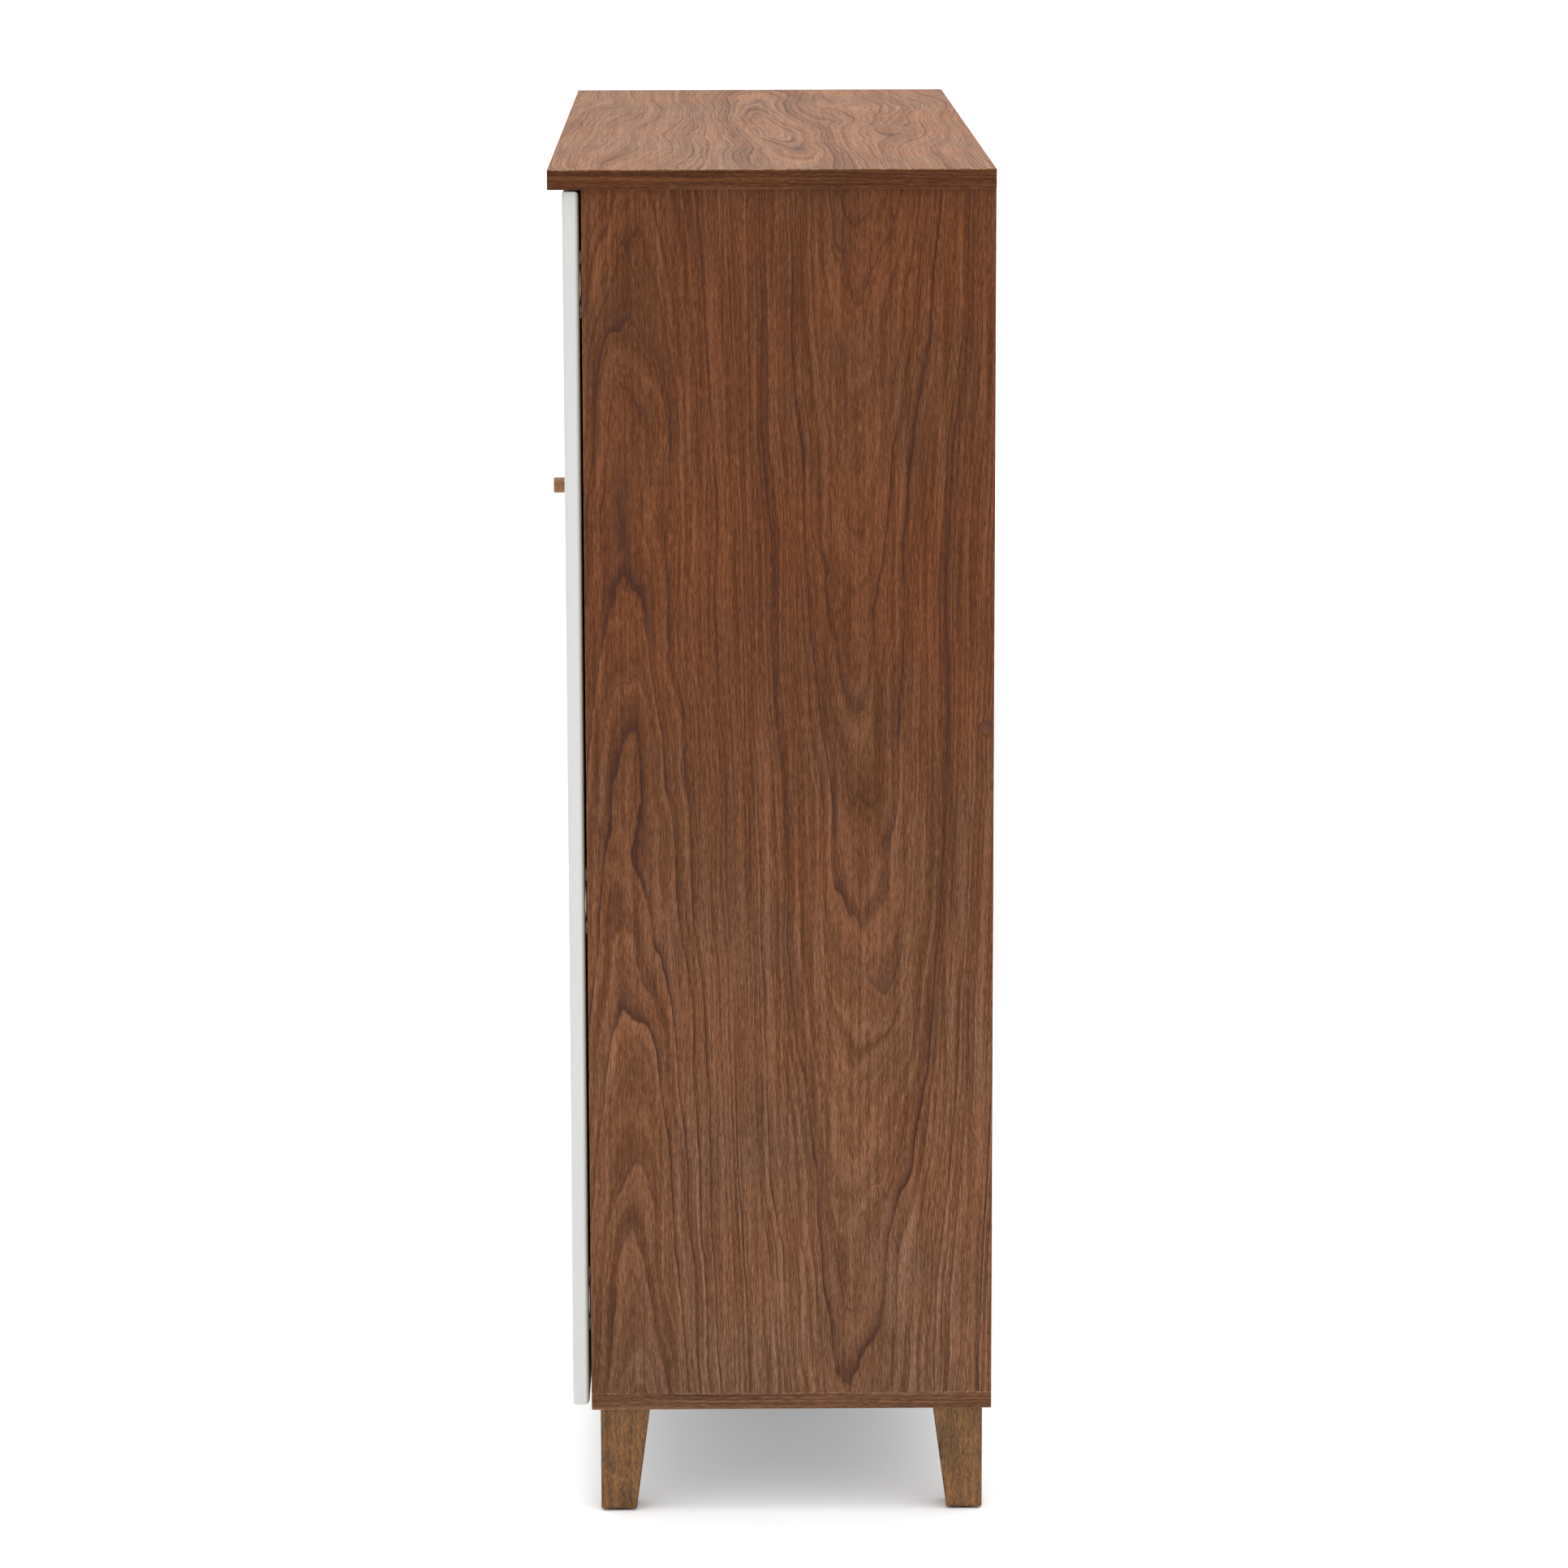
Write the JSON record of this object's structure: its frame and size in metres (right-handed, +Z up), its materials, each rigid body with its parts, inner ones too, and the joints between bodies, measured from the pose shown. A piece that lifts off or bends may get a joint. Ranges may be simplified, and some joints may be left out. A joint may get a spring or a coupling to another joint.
{
  "type": "shoe cabinet",
  "caption": "Tall wood-veneered shoe cabinet on tapered legs, with flat white hinged doors, round wooden knobs and fixed-height shelves inside.",
  "frame": {"origin": "on the floor, at the centre of the cabinet's width and of its depth from knob tip to back edge", "axes": "+Z up, the doors face -Y, +X is the side of the single door"},
  "size_m": [1.2, 0.407, 1.245],
  "materials": {
    "walnut_top": "open-pored satin walnut veneer, grain along the width",
    "walnut_veneer": "open-pored satin walnut veneer, upright grain on the sides",
    "leg_wood": "satin stained solid wood",
    "knob_wood": "satin turned wood",
    "white_lacquer": "satin white lacquer on fibreboard",
    "back_board": "thin fibreboard with printed wood foil",
    "cap_plastic": "matt brown",
    "glide_plastic": "matt black",
    "bumper_plastic": "translucent soft plastic",
    "nickel_steel": "nickel-plated stamped steel",
    "zinc_steel": "bright zinc-plated steel"
  },
  "bodies": {
    "carcass": {"top_panel": "walnut_top", "bottom_panel": "walnut_veneer", "side_panel_right": "walnut_veneer", "side_panel_left": "walnut_veneer", "partition_panel": "walnut_veneer", "back_rail": "walnut_veneer", "back_panel_upper": "back_board", "back_panel_lower": "back_board", "shelf_right_1": "walnut_veneer", "shelf_right_2": "walnut_veneer", "shelf_right_3": "walnut_veneer", "shelf_right_4": "walnut_veneer", "shelf_right_5": "walnut_veneer", "shelf_left_1": "walnut_veneer", "shelf_left_2": "walnut_veneer", "shelf_left_3": "walnut_veneer", "shelf_left_4": "walnut_veneer", "shelf_left_5": "walnut_veneer", "shelf_pins": "nickel_steel", "leg_front_right": "leg_wood", "leg_front_left": "leg_wood", "leg_rear_right": "leg_wood", "leg_rear_left": "leg_wood", "leg_centre": "leg_wood", "leg_threaded_inserts": "zinc_steel", "leg_hanger_bolts": "zinc_steel", "leg_glides": "glide_plastic", "confirmat_screws": "zinc_steel", "screw_cover_caps": "cap_plastic", "cam_locks": "zinc_steel", "cam_dowels": "zinc_steel", "hinge_plates": "nickel_steel", "hinge_plate_screws": "zinc_steel", "hinge_arms": "nickel_steel", "hinge_arm_screws": "zinc_steel", "hinge_arm_pins": "zinc_steel"},
    "hinge_links_right": {"hinge_links_right": "nickel_steel"},
    "hinge_links_middle": {"hinge_links_middle": "nickel_steel"},
    "hinge_links_left": {"hinge_links_left": "nickel_steel"},
    "door_right": {"door_right": "white_lacquer", "hinge_cups_right": "nickel_steel", "hinge_cup_pins_right": "zinc_steel", "hinge_cup_screws_right": "zinc_steel", "knob_right": "knob_wood", "knob_screw_right": "zinc_steel", "door_bumpers_right": "bumper_plastic"},
    "door_middle": {"door_middle": "white_lacquer", "hinge_cups_middle": "nickel_steel", "hinge_cup_pins_middle": "zinc_steel", "hinge_cup_screws_middle": "zinc_steel", "knob_middle": "knob_wood", "knob_screw_middle": "zinc_steel", "door_bumpers_middle": "bumper_plastic"},
    "door_left": {"door_left": "white_lacquer", "hinge_cups_left": "nickel_steel", "hinge_cup_pins_left": "zinc_steel", "hinge_cup_screws_left": "zinc_steel", "knob_left": "knob_wood", "knob_screw_left": "zinc_steel", "door_bumpers_left": "bumper_plastic"}
  },
  "joints": [
    {"name": "hinge_link_right", "type": "hinge", "parent": "carcass", "child": "hinge_links_right", "pos_m": [0.565, -0.1615, 0.665], "axis": [0, 0, 1], "range_deg": [-31.67, 0]},
    {"name": "door_right_swing", "type": "hinge", "parent": "hinge_links_right", "child": "door_right", "pos_m": [0.5845, -0.1725, 0.665], "axis": [0, 0, 1], "range_deg": [0, 126.67]},
    {"name": "hinge_link_middle", "type": "hinge", "parent": "carcass", "child": "hinge_links_middle", "pos_m": [0.168, -0.1615, 0.665], "axis": [0, 0, 1], "range_deg": [-31.67, 0]},
    {"name": "door_middle_swing", "type": "hinge", "parent": "hinge_links_middle", "child": "door_middle", "pos_m": [0.1875, -0.1725, 0.665], "axis": [0, 0, 1], "range_deg": [0, 126.67]},
    {"name": "hinge_link_left", "type": "hinge", "parent": "carcass", "child": "hinge_links_left", "pos_m": [-0.565, -0.1615, 0.665], "axis": [0, 0, -1], "range_deg": [-31.67, 0]},
    {"name": "door_left_swing", "type": "hinge", "parent": "hinge_links_left", "child": "door_left", "pos_m": [-0.5845, -0.1725, 0.665], "axis": [0, 0, -1], "range_deg": [0, 126.67]}
  ],
  "couplings": [
    {"joint": "hinge_link_right", "follows": "door_right_swing", "ratio": -0.25},
    {"joint": "hinge_link_middle", "follows": "door_middle_swing", "ratio": -0.25},
    {"joint": "hinge_link_left", "follows": "door_left_swing", "ratio": -0.25}
  ]
}
